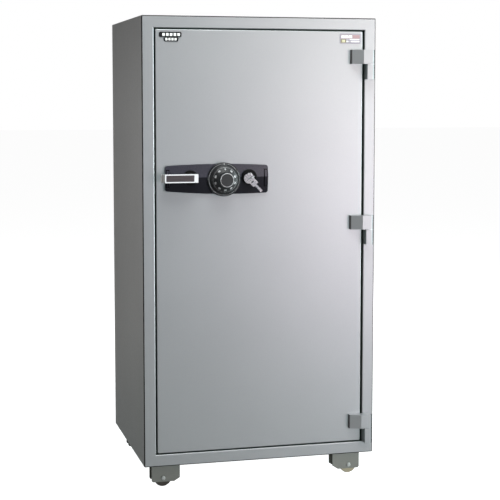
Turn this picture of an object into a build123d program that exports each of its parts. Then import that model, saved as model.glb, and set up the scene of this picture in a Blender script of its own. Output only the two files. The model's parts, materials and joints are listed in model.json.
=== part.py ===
from build123d import *
import math
import os

# A free-standing fire-resistant safe cabinet on four rollers: lever handle, combination dial, key lock.
# Millimetres. Each part is drawn in the cabinet's own frame: x from the left side, y from the front
# face towards the back (negative is in front of the door), z up from the underside of the casing.
# export() moves the finished parts so that the origin is under the middle of the whole object.

# ---- driving dimensions ----
WIDTH = 680.0
HEIGHT = 1265.0
DEPTH = 525.0
FOOT_HEIGHT = 70.0
KNOB_REACH = 54.0  # the dial knob's face, the foremost point

WALL = 75.0  # casing outside to cavity
CASING_SHEET = 2.0
LINER_SHEET = 1.5
FRAME_SHEET = 3.0
FRAME_EDGE_ROUND = 3.0  # inner edge of the frame's face
CORNER_BEND = 3.0
BORDER = 34.0  # width of the front frame's face
FRAME_STEP_DEPTH = 25.0  # where the door pan's rim lands
THROAT = 50.0  # casing outside to throat wall
THROAT_DEPTH = 105.0  # front face to cavity

PAN_GAP = 4.0
HINGE_SIDE_GAP = 6.0
PAN_DEPTH = 22.0
PAN_SHEET = 3.0
PAN_RETURN = 2.0
PAN_CORNER = 4.0
PLUG_X = (62.0, 624.0)
PLUG_MARGIN = 56.0  # casing outside to plug, at top and bottom
PLUG_Z = (PLUG_MARGIN, HEIGHT - PLUG_MARGIN)
PLUG_SHEET = 2.0
PLUG_DEPTH = 97.0
PANEL_SHEET = 3.0
LOCK_BAY_DEPTH = 55.0  # front face to the plate that carries the locks
LOCK_PLATE_SHEET = 2.0
SCREW_SHANK = 2.5

HINGE_PIN_X = 658.0
HINGE_PIN_REACH = 14.2  # pin axis in front of the front face
HINGE_PIN_RADIUS = 5.0
HINGE_LEVELS = {"top": 1134.0, "middle": 660.0, "bottom": 77.0}  # top of each knuckle
HINGE_REACH = 26.2
LEAF_LEFT = 603.0
LEAF_BROW = 635.7  # where the leaf's slope meets its flat front
EYE_RADIUS = 12.0
KNUCKLE_HALF = 11.0  # pin axis to the knuckle's left face
PIN_FLOOR = 6.0  # metal under the pin in the knuckle
EYE_ROOF = 8.0  # metal over the pin in the leaf
KNUCKLE_HEIGHT = 43.0
LEAF_HEIGHT = 40.0
WASHER_THICKNESS = 0.7
WASHER_RADIUS = 10.0
LEAF_LIFT = 1.0  # leaf above knuckle, washer between

BOLT_LEVELS = (260.0, 632.5, 1005.0)
BOLT_DEPTH = 76.0
BOLT_RADIUS = 12.0
BOLT_HOLE_RADIUS = 13.5
BAR_WIDTH = 30.0
FIXED_BOLT_RADIUS = 10.0

HANDLE_X, HANDLE_Z = 132.5, 817.0
HANDLE_SHAFT = 11.0  # radius in the collar
HANDLE_SPINDLE = 7.0  # radius through the door
HANDLE_COLLAR = 21.0
BUSH_RADIUS = 12.0
LEVER_X = (54.6, 148.6)
LEVER_HALF = 12.1
LEVER_PLATE = 5.0
LEVER_NECK = 11.5
LEVER_NOSE = 7.2  # how far the free end stands out beside the plate
INSERT_X = (58.2, 137.2)
INSERT_HALF = 8.8
HANDLE_FACE = 46.0
HANDLE_BACK = 24.0
CAM_DEPTH = (66.0, 72.0)
CAM_RADIUS = 25.0  # spindle axis to drive pin
CAM_REST_ANGLE = 30.0  # drive pin right of upright, bolts drawn back
DRIVE_PIN_RADIUS = 5.0
SLOT_CLEARANCE = 0.5

DIAL_X, DIAL_Z = 228.3, 811.0
DIAL_SPINDLE = 4.5
DIAL_RADIUS = 41.0
DIAL_BACK, DIAL_BROW_REACH, DIAL_FACE = 17.0, 27.0, 36.0  # reaches in front of the front face
BEZEL_RADIUS = 47.5
BEZEL_REACH = 18.0
BEZEL_RECESS = 2.5
KNOB_RADIUS = 20.0
FLUTES = 24
LOCK_CASE_DEPTH = (57.0, 92.0)
WHEEL_DEPTHS = (63.0, 72.0, 81.0)
WHEEL_RADIUS = 25.0
WHEEL_THICKNESS = 5.0

KEY_X, KEY_Z = 301.0, 817.5
KEY_BARREL = 11.0
KEY_COLLAR = 21.5
KEY_THICKNESS = 2.2
KEYWAY_DEPTH = 24.0
KEY_BOW = (11.0, 13.0)  # half its depth and half its height
KEY_BOW_REACH = 32.0
KEY_EYE = 4.0
KEY_BLADE_HALF = 4.0
PLUG_BACK = 84.0
RING_RADIUS = 9.5
RING_WIRE = 0.8
RING_TILT = 18.0  # the ring's left side hangs below its right side
RING_REACH = KEY_BOW_REACH + RING_RADIUS
SPARE_REACH = 45.0
SPARE_THICKNESS = 2.0
SPARE_BOW = 14.0
SPARE_EYE = 2.6
SPARE_BLADE_HALF = 3.7

RUNNING = 0.05  # radial clearance of a fit
FREE = 0.3  # radial clearance of parts that only pass each other

ESCUTCHEON_X = (62.0, 357.0)
ESCUTCHEON_TOP = (850.0, 854.5, 850.0)  # left end, middle, right end
ESCUTCHEON_BOTTOM = (780.0, 770.5, 772.0)
RIDGE_Z = 817.5
RIDGE_REACH = 13.0
RIDGE_FALL = 0.12  # loss of reach for each millimetre above or below the ridge
COLLAR_REACH = 20.0
CAP_CENTRES = (69.0, 350.5)
CAP_Z = 814.0
CAP_SIZE = (9.0, 48.0)
CAP_GROOVE = 1.2

BRACKET_OUTER, BRACKET_INNER = 28.0, 110.0  # from the casing's side
BRACKET_SETBACK = 40.0
BRACKET_DEPTH = 38.0
BRACKET_SHEET = 3.0
BRACKET_CLEAR = 14.0  # plate bottom above the floor
AXLE_X = 61.0
ROLLER_RADIUS = 25.0
AXLE_RADIUS = 4.0
AXLE_HEAD_RADIUS = 6.0

BADGE_REACH = 2.5
LABEL_REACH = 1.2

SHELF_LEVELS = (350.0, 630.0, 910.0)
SHELF_SHEET = 2.0
SHELF_LIP = 22.0

FRONT_Y = KNOB_REACH - (DEPTH + KNOB_REACH) / 2
PLACE = Pos(-WIDTH / 2, FRONT_Y, FOOT_HEIGHT)


# ---- drawing helpers ----
def block(x, y, z):
    """A box between pairs of limits."""
    size = (x[1] - x[0], y[1] - y[0], z[1] - z[0])
    return Pos(sum(x) / 2, sum(y) / 2, sum(z) / 2) * Box(*size)


def rod_x(radius, y, z, x):
    return Pos(sum(x) / 2, y, z) * Rot(0, 90, 0) * Cylinder(radius, x[1] - x[0])


def rod_y(radius, x, z, y):
    return Pos(x, sum(y) / 2, z) * Rot(90, 0, 0) * Cylinder(radius, y[1] - y[0])


def rod_z(radius, x, y, z):
    return Pos(x, y, sum(z) / 2) * Cylinder(radius, z[1] - z[0])


def prism_y(sketch, y):
    """A front-view outline, drawn in x and z, between two depths."""
    plane = Plane((0, y[1], 0), x_dir=(1, 0, 0), z_dir=(0, -1, 0))
    return extrude(plane * sketch, y[1] - y[0], dir=(0, -1, 0))


def prism_z(sketch, z):
    """A plan outline, drawn in x and y, between two heights."""
    return extrude(Plane((0, 0, z[0])) * sketch, z[1] - z[0], dir=(0, 0, 1))


def prism_x(sketch, x):
    """A side outline, drawn in y and z, between two x limits."""
    plane = Plane((x[0], 0, 0), x_dir=(0, 1, 0), z_dir=(1, 0, 0))
    return extrude(plane * sketch, x[1] - x[0], dir=(1, 0, 0))


def outline(*edges):
    return make_face(Curve() + list(edges))


def ring_of(outer, inner, y):
    """A rectangular ring between two rectangles (x limits, z limits)."""
    hole = (y[0] - 1, y[1] + 1)
    return block(outer[0], y, outer[1]) - block(inner[0], hole, inner[1])


def inset(margin):
    """x and z limits at one distance inside the casing's outside."""
    return (margin, WIDTH - margin), (margin, HEIGHT - margin)


def group(parts):
    return Compound(children=[solid for part in parts for solid in part.solids()])


def export(node, shape):
    solids = [PLACE * solid for solid in shape.solids()]
    whole = solids[0] if len(solids) == 1 else Compound(children=solids)
    export_step(whole, f"parts/{node}.step")


# ---- cabinet ----
def outer_casing():
    outside = prism_y(Pos(WIDTH / 2, HEIGHT / 2) * RectangleRounded(WIDTH, HEIGHT, CORNER_BEND),
                      (FRAME_SHEET, DEPTH))
    inside = inset(CASING_SHEET)
    return outside - block(inside[0], (0, DEPTH + 1), inside[1])


def back_panel():
    limits = inset(CASING_SHEET)
    panel = block(limits[0], (DEPTH - CASING_SHEET, DEPTH), limits[1])
    groove_depth, groove_half, margin = CASING_SHEET / 2, 6.0, 120.0
    for level in (HEIGHT * 0.25, HEIGHT * 0.5, HEIGHT * 0.75):
        panel -= block((margin, WIDTH - margin), (DEPTH - groove_depth, DEPTH + 1),
                       (level - groove_half, level + groove_half))
    return panel


def corner_arc(start, corner, end):
    """A quarter round between two points, whose tangents meet at the corner."""
    near = 1 - math.sqrt(0.5)
    middle = [corner[i] + (start[i] + end[i] - 2 * corner[i]) * near for i in range(2)]
    return ThreePointArc(start, tuple(middle), end)


def frame_section():
    """The folded frame's section: distance in from the casing's outside, depth behind the front."""
    bend, edge, sheet, step = CORNER_BEND, FRAME_EDGE_ROUND, FRAME_SHEET, FRAME_STEP_DEPTH
    return outline(
        corner_arc((0, bend), (0, 0), (bend, 0)),
        Line((bend, 0), (BORDER - edge, 0)),
        corner_arc((BORDER - edge, 0), (BORDER, 0), (BORDER, edge)),
        Polyline((BORDER, edge), (BORDER, step), (THROAT, step), (THROAT, THROAT_DEPTH - sheet),
                 (WALL, THROAT_DEPTH - sheet), (WALL, THROAT_DEPTH), (THROAT - sheet, THROAT_DEPTH),
                 (THROAT - sheet, step + sheet), (BORDER - sheet, step + sheet),
                 (BORDER - sheet, sheet), (0, sheet)),
    )


def front_frame():
    """Four folded members, mitred at the corners."""
    reach = WALL + 5
    deep = (-1, THROAT_DEPTH + 1)
    left_wedge = Polygon((0, 0), (reach, reach), (reach, HEIGHT - reach), (0, HEIGHT), align=None)
    low_wedge = Polygon((0, 0), (WIDTH, 0), (WIDTH - reach, reach), (reach, reach), align=None)
    left = prism_z(frame_section(), (0, HEIGHT)) & prism_y(left_wedge, deep)
    for level in BOLT_LEVELS:
        left -= rod_x(BOLT_HOLE_RADIUS, BOLT_DEPTH, level, (THROAT - 10, THROAT + 10))
    right = mirror(left, Plane.YZ.offset(WIDTH / 2))
    low_face = Plane((0, 0, 0), x_dir=(0, 0, 1), z_dir=(-1, 0, 0)) * frame_section()
    low = extrude(low_face, WIDTH, dir=(1, 0, 0)) & prism_y(low_wedge, deep)
    high = mirror(low, Plane.XY.offset(HEIGHT / 2))
    rounded = prism_y(Pos(WIDTH / 2, HEIGHT / 2) * RectangleRounded(WIDTH, HEIGHT, CORNER_BEND), deep)
    return group([member & rounded for member in (left, right, low, high)])


def body_insulation():
    """Slabs cast behind the liner, and the four fills behind the front frame."""
    shell = inset(CASING_SHEET)
    room = inset(WALL - LINER_SHEET)
    deep = (THROAT_DEPTH, DEPTH - CASING_SHEET)
    liner_back = DEPTH - WALL + LINER_SHEET
    between = room[0]
    slabs = [
        block((shell[0][0], room[0][0]), deep, shell[1]),
        block((room[0][1], shell[0][1]), deep, shell[1]),
        block(between, deep, (shell[1][0], room[1][0])),
        block(between, deep, (room[1][1], shell[1][1])),
        block(between, (liner_back, deep[1]), room[1]),
    ]
    fill = BORDER - FRAME_SHEET
    ahead = (FRAME_SHEET, THROAT_DEPTH)
    slabs += [
        block((CASING_SHEET, fill), ahead, (fill, HEIGHT - fill)),
        block((WIDTH - fill, WIDTH - CASING_SHEET), ahead, (fill, HEIGHT - fill)),
        block((CASING_SHEET, WIDTH - CASING_SHEET), ahead, (CASING_SHEET, fill)),
        block((CASING_SHEET, WIDTH - CASING_SHEET), ahead, (HEIGHT - fill, HEIGHT - CASING_SHEET)),
    ]
    return group(slabs)


def inner_liner():
    outside = inset(WALL - LINER_SHEET)
    inside = inset(WALL)
    back = DEPTH - WALL
    return (block(outside[0], (THROAT_DEPTH, back + LINER_SHEET), outside[1])
            - block(inside[0], (THROAT_DEPTH - 1, back), inside[1]))


def shelf(level):
    """A folded tray: plate with a lip down at the front and the back."""
    x = (WALL + 1.5, WIDTH - WALL - 1.5)
    y = (THROAT_DEPTH + 6, DEPTH - WALL - 4)
    plate = block(x, y, (level - SHELF_SHEET, level))
    for lip in ((y[0], y[0] + SHELF_SHEET), (y[1] - SHELF_SHEET, y[1])):
        plate += block(x, lip, (level - SHELF_LIP, level))
    return plate


def shelf_clips():
    """Angle clips spot-welded to the liner, four under each shelf."""
    clips = []
    for level in SHELF_LEVELS:
        under = level - SHELF_SHEET
        for y in (THROAT_DEPTH + 50, DEPTH - WALL - 50):
            along = (y - 10, y + 10)
            left = (block((WALL, WALL + 1.5), along, (under - 22, under))
                    + block((WALL, WALL + 14), along, (under - 1.5, under)))
            clips += [left, mirror(left, Plane.YZ.offset(WIDTH / 2))]
    return group(clips)


# ---- hinges ----
def knuckle_nose():
    """The quarter round of the front-right corner, shared by knuckle and leaf, and its two ends."""
    right, front, radius = HINGE_PIN_X + EYE_RADIUS, -HINGE_REACH, 8.0
    start, end = (right - radius, front), (right, front + radius)
    return start, end, corner_arc(start, (right, front), end)


def hinge_knuckle(level):
    left, right = HINGE_PIN_X - KNUCKLE_HALF, HINGE_PIN_X + EYE_RADIUS
    start, end, nose = knuckle_nose()
    face = outline(Polyline(end, (right, 0), (left, 0), (left, -HINGE_REACH), start), nose)
    knuckle = prism_z(face, (level - KNUCKLE_HEIGHT, level))
    bore = (level - KNUCKLE_HEIGHT + PIN_FLOOR, level + 1)
    return knuckle - rod_z(HINGE_PIN_RADIUS, HINGE_PIN_X, -HINGE_PIN_REACH, bore)


def hinge_leaf(level):
    """Cast leaf on the door, sloping up to the eye that sits over the pin."""
    right = HINGE_PIN_X + EYE_RADIUS
    door_edge = pan_limits()[0][1]
    low = EYE_RADIUS - HINGE_PIN_REACH
    start, end, nose = knuckle_nose()
    face = outline(
        Polyline((HINGE_PIN_X, low), (door_edge, low), (door_edge, 0), (LEAF_LEFT, 0),
                 (LEAF_LEFT, -HINGE_PIN_REACH), (LEAF_BROW, -HINGE_REACH), start),
        nose,
        Line(end, (right, -HINGE_PIN_REACH)),
        corner_arc((right, -HINGE_PIN_REACH), (right, low), (HINGE_PIN_X, low)),
    )
    bottom = level + LEAF_LIFT
    leaf = prism_z(face, (bottom, bottom + LEAF_HEIGHT))
    bore = (bottom - 1, bottom + LEAF_HEIGHT - EYE_ROOF)
    return leaf - rod_z(HINGE_PIN_RADIUS + RUNNING, HINGE_PIN_X, -HINGE_PIN_REACH, bore)


def hinge_pins():
    return group([rod_z(HINGE_PIN_RADIUS, HINGE_PIN_X, -HINGE_PIN_REACH,
                        (level - KNUCKLE_HEIGHT + PIN_FLOOR, level + LEAF_HEIGHT - EYE_ROOF - 2))
                  for level in HINGE_LEVELS.values()])


def hinge_washers():
    washers = []
    for level in HINGE_LEVELS.values():
        washer = rod_z(WASHER_RADIUS, HINGE_PIN_X, -HINGE_PIN_REACH, (level, level + WASHER_THICKNESS))
        hole = rod_z(HINGE_PIN_RADIUS + RUNNING, HINGE_PIN_X, -HINGE_PIN_REACH, (level - 1, level + 2))
        washers.append(washer - hole)
    return group(washers)


# ---- feet ----
def foot_plate():
    """Side plate of a left bracket: outer corner rounded, inner corner cut off."""
    low = BRACKET_CLEAR - FOOT_HEIGHT
    radius, cut_x, cut_z = 6.0, 16.0, 10.0
    start, end = (BRACKET_OUTER + radius, low), (BRACKET_OUTER, low + radius)
    return outline(
        Polyline(end, (BRACKET_OUTER, 0), (BRACKET_INNER, 0), (BRACKET_INNER, low + cut_z),
                 (BRACKET_INNER - cut_x, low), start),
        corner_arc(start, (BRACKET_OUTER, low), end),
    )


def front_left_bracket():
    front, back = BRACKET_SETBACK, BRACKET_SETBACK + BRACKET_DEPTH
    bracket = prism_y(foot_plate(), (front, front + BRACKET_SHEET))
    bracket += prism_y(foot_plate(), (back - BRACKET_SHEET, back))
    bracket += block((BRACKET_OUTER, BRACKET_INNER), (front, back), (-BRACKET_SHEET, 0))
    return bracket - rod_y(AXLE_RADIUS, AXLE_X, ROLLER_RADIUS - FOOT_HEIGHT, (front - 1, back + 1))


def front_left_axle():
    """Shoulder bolt with a round head in front and a nut behind."""
    front, back = BRACKET_SETBACK, BRACKET_SETBACK + BRACKET_DEPTH
    z = ROLLER_RADIUS - FOOT_HEIGHT
    axle = rod_y(AXLE_RADIUS, AXLE_X, z, (front, back + 5))
    head = rod_y(AXLE_HEAD_RADIUS, AXLE_X, z, (front - 4, front))
    head = fillet(head.edges().sort_by(Axis.Y)[0], 2.0)
    nut = prism_y(Pos(AXLE_X, z) * RegularPolygon(7, 6), (back, back + 5))
    return axle + head + nut


def front_left_roller():
    front, back = BRACKET_SETBACK + BRACKET_SHEET, BRACKET_SETBACK + BRACKET_DEPTH - BRACKET_SHEET
    z = ROLLER_RADIUS - FOOT_HEIGHT
    roller = rod_y(ROLLER_RADIUS, AXLE_X, z, (front + 1, back - 1))
    roller = chamfer(roller.edges().filter_by(GeomType.CIRCLE), 1.2)
    return roller - rod_y(AXLE_RADIUS + RUNNING, AXLE_X, z, (front, back))


def at_corner(part, side, end):
    """A front-left part, mirrored to the named corner."""
    if side == "right":
        part = mirror(part, Plane.YZ.offset(WIDTH / 2))
    if end == "rear":
        part = mirror(part, Plane.XZ.offset(-DEPTH / 2))
    return part


CORNERS = [(end, side) for end in ("front", "rear") for side in ("left", "right")]


# ---- door shell ----
def spindle_holes(y, handle_radius, dial_radius, key_radius):
    return (rod_y(handle_radius, HANDLE_X, HANDLE_Z, y) + rod_y(dial_radius, DIAL_X, DIAL_Z, y)
            + rod_y(key_radius, KEY_X, KEY_Z, y))


def lock_holes(y):
    """Clearance holes for the handle, the dial and the key."""
    return spindle_holes(y, HANDLE_SHAFT + FREE, DIAL_SPINDLE + FREE, KEY_BARREL + FREE)


def shrink(limits, amount):
    return limits[0] + amount, limits[1] - amount


def pan_limits():
    """The door pan's x and z limits; the gap is wider on the hinge side."""
    x, z = inset(BORDER + PAN_GAP)
    return (x[0], WIDTH - BORDER - HINGE_SIDE_GAP), z


def door_pan():
    x, z = pan_limits()
    pan = block(x, (0, PAN_DEPTH), z)
    pan = fillet(pan.edges().filter_by(Axis.Y), PAN_CORNER)
    front_edges = pan.faces().sort_by(Axis.Y)[0].edges()
    pan = fillet(front_edges, 2.0)
    pan -= block(shrink(x, PAN_SHEET), (PAN_SHEET, PAN_DEPTH - PAN_RETURN), shrink(z, PAN_SHEET))
    pan -= block(PLUG_X, (PAN_SHEET, PAN_DEPTH + 1), PLUG_Z)
    return pan - lock_holes((-1, PAN_SHEET + 1))


def door_insulation():
    x, z = pan_limits()
    split = PAN_DEPTH - PAN_RETURN
    slabs = [block(shrink(x, PAN_SHEET), (PAN_SHEET, split), shrink(z, PAN_SHEET)),
             block(shrink(PLUG_X, PLUG_SHEET), (split, LOCK_BAY_DEPTH), shrink(PLUG_Z, PLUG_SHEET))]
    holes = lock_holes((0, LOCK_BAY_DEPTH + 1))
    return group([slab - holes for slab in slabs])


def door_plug_casing():
    """Sheet sides of the plug with a return at the back for the inner panel's screws."""
    y = (PAN_DEPTH - PAN_RETURN, PLUG_DEPTH)
    inner_x, inner_z = shrink(PLUG_X, PLUG_SHEET), shrink(PLUG_Z, PLUG_SHEET)
    casing = block(PLUG_X, y, PLUG_Z)
    casing -= block(inner_x, (y[0] - 1, y[1] - PLUG_SHEET), inner_z)
    screw_flange = 13.0
    casing -= block(shrink(inner_x, screw_flange), (y[0], y[1] + 1), shrink(inner_z, screw_flange))
    left, right = PLUG_X
    for level in BOLT_LEVELS:
        casing -= rod_x(BOLT_RADIUS + FREE, BOLT_DEPTH, level, (left - 1, left + 5))
        casing -= rod_x(FIXED_BOLT_RADIUS, BOLT_DEPTH, level, (right - 5, right + 1))
    return casing


def lock_mounting_plate():
    y = (LOCK_BAY_DEPTH, LOCK_BAY_DEPTH + LOCK_PLATE_SHEET)
    edge = PLUG_SHEET + 0.5
    plate = block(shrink(PLUG_X, edge), y, shrink(PLUG_Z, edge))
    return plate - spindle_holes((y[0] - 1, y[1] + 1), BUSH_RADIUS, DIAL_SPINDLE + FREE, KEY_BARREL + FREE)


def screw_places():
    """Inner panel screws: five up each side and one between at the top and the bottom."""
    edge = 8.0
    x = shrink(PLUG_X, edge)
    z = shrink(PLUG_Z, edge)
    rise = (z[1] - z[0]) / 4
    sides = [(side, z[0] + rise * step) for side in x for step in range(5)]
    return sides + [(sum(x) / 2, level) for level in z]


def door_inner_panel():
    y = (PLUG_DEPTH, PLUG_DEPTH + PANEL_SHEET)
    panel = block(PLUG_X, y, PLUG_Z)
    for x, z in screw_places():
        panel -= rod_y(SCREW_SHANK, x, z, (y[0] - 1, y[1] + 1))
    return panel


def panel_screws():
    back = PLUG_DEPTH + PANEL_SHEET
    screws = []
    for x, z in screw_places():
        head = rod_y(5, x, z, (back, back + 1.5))
        head = fillet(head.edges().sort_by(Axis.Y)[-1], 1.0)
        head -= block((x - 3, x + 3), (back + 0.8, back + 2), (z - 0.6, z + 0.6))
        head -= block((x - 0.6, x + 0.6), (back + 0.8, back + 2), (z - 3, z + 3))
        screws.append(head + rod_y(SCREW_SHANK, x, z, (PLUG_DEPTH, back)))
    return group(screws)


def door_seal():
    """Heat-swelling strip round the door's rim."""
    outer, inner = inset(43), inset(53)
    return ring_of(outer, inner, (PAN_DEPTH, FRAME_STEP_DEPTH - FREE))


def badge():
    """Blank badge at the door's upper left: a wide rounded bar over a narrower one."""
    bars = []
    for shape in (Pos(80.25, 1212.7) * RectangleRounded(63.5, 14.6, 5),
                  Pos(82.5, 1200) * RectangleRounded(41, 12.8, 4)):
        bar = prism_y(shape, (-BADGE_REACH, 0))
        bars.append(chamfer(bar.faces().sort_by(Axis.Y)[0].edges(), 0.6))
    return bars[0] + bars[1]


def rating_label():
    return prism_y(Pos(602.5, 1206.5) * RectangleRounded(62, 28, 2), (-LABEL_REACH, 0))


# ---- escutcheon ----
def roof(lift=0.0):
    """A ridge along the escutcheon, falling away above and below it."""
    half = 50.0
    ridge = RIDGE_REACH + lift
    edge = ridge - RIDGE_FALL * half
    section = Polygon((0, RIDGE_Z - half), (-edge, RIDGE_Z - half), (-ridge, RIDGE_Z),
                      (-edge, RIDGE_Z + half), (0, RIDGE_Z + half), align=None)
    return prism_x(section, ESCUTCHEON_X)


def cap_outlines(margin=0.0):
    """Outlines of the bars at both ends, grown by a margin."""
    width, height = CAP_SIZE
    shape = RectangleRounded(width + 2 * margin, height + 2 * margin, 1.5 + margin)
    return [Pos(x, CAP_Z) * shape for x in CAP_CENTRES]


def escutcheon_caps():
    """Raised upright bars let into both ends."""
    return group([prism_y(shape, (-20, -4)) & roof(1.5) for shape in cap_outlines()])


def escutcheon_plate():
    """The plate before it is cut for its bars and spindles."""
    x = (ESCUTCHEON_X[0], sum(ESCUTCHEON_X) / 2, ESCUTCHEON_X[1])
    top = list(zip(x, ESCUTCHEON_TOP))
    bottom = list(zip(x, ESCUTCHEON_BOTTOM))
    face = outline(ThreePointArc(*top), Line(top[-1], bottom[-1]), ThreePointArc(*reversed(bottom)),
                   Line(bottom[0], top[0]))
    face = fillet(face.vertices(), 7)
    return roof() & prism_y(face, (-20, 0))


def escutcheon():
    plate = escutcheon_plate() - lock_holes((-30, 1)) - escutcheon_caps()
    for shape in cap_outlines(CAP_GROOVE):
        plate -= prism_y(shape, (-20, -7))
    return plate


def seated(radius, x, z, reach, bore):
    """A round part standing on the escutcheon, its back cut to fit the ridge."""
    disc = rod_y(radius, x, z, (-reach, 0))
    disc = chamfer(disc.edges().filter_by(GeomType.CIRCLE).sort_by(Axis.Y)[0], 1.5)
    return disc - roof() - rod_y(bore, x, z, (-reach - 1, 1))


def handle_collar():
    return seated(HANDLE_COLLAR, HANDLE_X, HANDLE_Z, COLLAR_REACH, HANDLE_SHAFT + RUNNING)


def key_collar():
    return seated(KEY_COLLAR, KEY_X, KEY_Z, COLLAR_REACH, KEY_BARREL + RUNNING)


def dial_ring():
    """Bezel round the dial; it overhangs the escutcheon's edges and reaches the door there."""
    front = -BEZEL_REACH
    ring = rod_y(BEZEL_RADIUS, DIAL_X, DIAL_Z, (front, 0))
    ring = fillet(ring.edges().filter_by(GeomType.CIRCLE).sort_by(Axis.Y)[0], 2.0)
    ring -= rod_y(DIAL_RADIUS + 1, DIAL_X, DIAL_Z, (front - 1, front + BEZEL_RECESS))
    ring -= escutcheon_plate()
    return ring - rod_y(DIAL_SPINDLE + FREE, DIAL_X, DIAL_Z, (front - 1, 1))


# ---- handle ----
def insert_outline():
    size = (INSERT_X[1] - INSERT_X[0], 2 * INSERT_HALF)
    return Pos(sum(INSERT_X) / 2, HANDLE_Z) * RectangleRounded(*size, 1)


def lever_handle():
    """Lever: a flat plate with a recess for its insert, and behind it a body with a round nose."""
    left, right = LEVER_X
    face, back, joint = -HANDLE_FACE, -HANDLE_BACK, LEVER_PLATE - HANDLE_FACE
    plate = block(LEVER_X, (face, joint), (HANDLE_Z - LEVER_HALF, HANDLE_Z + LEVER_HALF))
    plate = fillet(plate.edges().filter_by(Axis.Y), 1.2)
    plate = chamfer(plate.faces().sort_by(Axis.Y)[0].edges(), 0.4)
    plate -= prism_y(insert_outline(), (face - 1, face + 1))
    root, groove, half = left + 1.6, joint + 1.6, LEVER_HALF - 1.2
    plan = outline(Polyline((root, groove), (root, joint), (right, joint), (right, back), (left + 8, back)),
                   ThreePointArc((left + 8, back), (left - LEVER_NOSE, (groove + back) / 2 - 2),
                                 (root, groove)))
    body = prism_z(plan, (HANDLE_Z - half, HANDLE_Z + half))
    body = fillet(body.edges().filter_by(Axis.X).sort_by(Axis.Y)[-2:], 3.0)
    neck = rod_y(LEVER_NECK, HANDLE_X, HANDLE_Z, (back, -COLLAR_REACH - 0.5))
    return plate + body + neck


def handle_insert():
    return prism_y(insert_outline(), (-HANDLE_FACE + 0.3, -HANDLE_FACE + 1))


def handle_spindle():
    shaft = rod_y(HANDLE_SHAFT, HANDLE_X, HANDLE_Z, (-COLLAR_REACH - 0.5, 4))
    return shaft + rod_y(HANDLE_SPINDLE, HANDLE_X, HANDLE_Z, (4, CAM_DEPTH[0]))


def spindle_bush():
    """Flanged bush that carries the spindle in the lock plate."""
    flange = (LOCK_BAY_DEPTH + LOCK_PLATE_SHEET, LOCK_BAY_DEPTH + LOCK_PLATE_SHEET + 3)
    bush = rod_y(BUSH_RADIUS, HANDLE_X, HANDLE_Z, (LOCK_BAY_DEPTH, flange[1]))
    bush += rod_y(BUSH_RADIUS + 4, HANDLE_X, HANDLE_Z, flange)
    return bush - rod_y(HANDLE_SPINDLE + RUNNING, HANDLE_X, HANDLE_Z, (LOCK_BAY_DEPTH - 1, flange[1] + 1))


def drive_pin_place():
    angle = math.radians(CAM_REST_ANGLE)
    return HANDLE_X + CAM_RADIUS * math.sin(angle), HANDLE_Z + CAM_RADIUS * math.cos(angle)


def handle_cam():
    """Crank plate on the spindle's end with the pin that drives the bolt bar."""
    x, z = drive_pin_place()
    y = CAM_DEPTH
    arm_half = 8.0
    arm = Pos(0, 0, CAM_RADIUS / 2) * Box(2 * arm_half, y[1] - y[0], CAM_RADIUS)
    cam = Pos(HANDLE_X, sum(y) / 2, HANDLE_Z) * Rot(0, CAM_REST_ANGLE, 0) * arm
    cam += rod_y(2 * HANDLE_SPINDLE, HANDLE_X, HANDLE_Z, y)
    cam += rod_y(arm_half, x, z, y)
    return cam + rod_y(DRIVE_PIN_RADIUS, x, z, (y[1], y[1] + 12))


# ---- boltwork ----
def bolt_bar():
    """Upright bar that joins the three bolts; the drive pin works in its slot."""
    pin_x, pin_z = drive_pin_place()
    x = (pin_x - BAR_WIDTH / 2, pin_x + BAR_WIDTH / 2)
    y = (BOLT_DEPTH - 3, BOLT_DEPTH + 3)
    past_bolt = 25.0
    bar = block(x, y, (BOLT_LEVELS[0] - past_bolt, BOLT_LEVELS[-1] + past_bolt))
    slot_half = DRIVE_PIN_RADIUS + SLOT_CLEARANCE
    rise = HANDLE_Z + CAM_RADIUS - pin_z
    slot = SlotCenterToCenter(rise + 2, slot_half * 2, rotation=90)
    return bar - prism_y(Pos(pin_x, pin_z + rise / 2) * slot, (y[0] - 1, y[1] + 1))


def locking_bolts():
    bar_edge = drive_pin_place()[0] - BAR_WIDTH / 2
    bolts = []
    for level in BOLT_LEVELS:
        bolt = rod_x(BOLT_RADIUS, BOLT_DEPTH, level, (PLUG_X[0] - 1, bar_edge))
        bolts.append(chamfer(bolt.edges().filter_by(GeomType.CIRCLE).sort_by(Axis.X)[0], 2.0))
    return group(bolts)


def bolt_guides():
    """Bored blocks behind the plug's edge, one for each bolt."""
    x = (PLUG_X[0] + PLUG_SHEET, PLUG_X[0] + PLUG_SHEET + 14)
    guides = []
    for level in BOLT_LEVELS:
        guide = block(x, (LOCK_BAY_DEPTH + LOCK_PLATE_SHEET, BOLT_DEPTH + 17), (level - 20, level + 20))
        guides.append(guide - rod_x(BOLT_RADIUS + RUNNING, BOLT_DEPTH, level, (x[0] - 1, x[1] + 1)))
    return group(guides)


def fixed_bolts():
    """Dog bolts on the hinge side, flanged inside the plug."""
    inside = PLUG_X[1] - PLUG_SHEET
    bolts = []
    for level in BOLT_LEVELS:
        pin = rod_x(FIXED_BOLT_RADIUS, BOLT_DEPTH, level, (inside, PLUG_X[1] + 12))
        pin = chamfer(pin.edges().filter_by(GeomType.CIRCLE).sort_by(Axis.X)[-1], 2.0)
        bolts.append(pin + rod_x(16, BOLT_DEPTH, level, (inside - 6, inside)))
    return group(bolts)


# ---- combination lock ----
def revolve_y(points, x, z):
    """Turn a (radius, reach in front) outline about a fore-and-aft axis."""
    section = Plane((x, 0, z), x_dir=(1, 0, 0), z_dir=(0, 0, 1)) * Polygon(*points, align=None)
    return revolve(section, Axis((x, 0, z), (0, 1, 0)))


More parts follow.
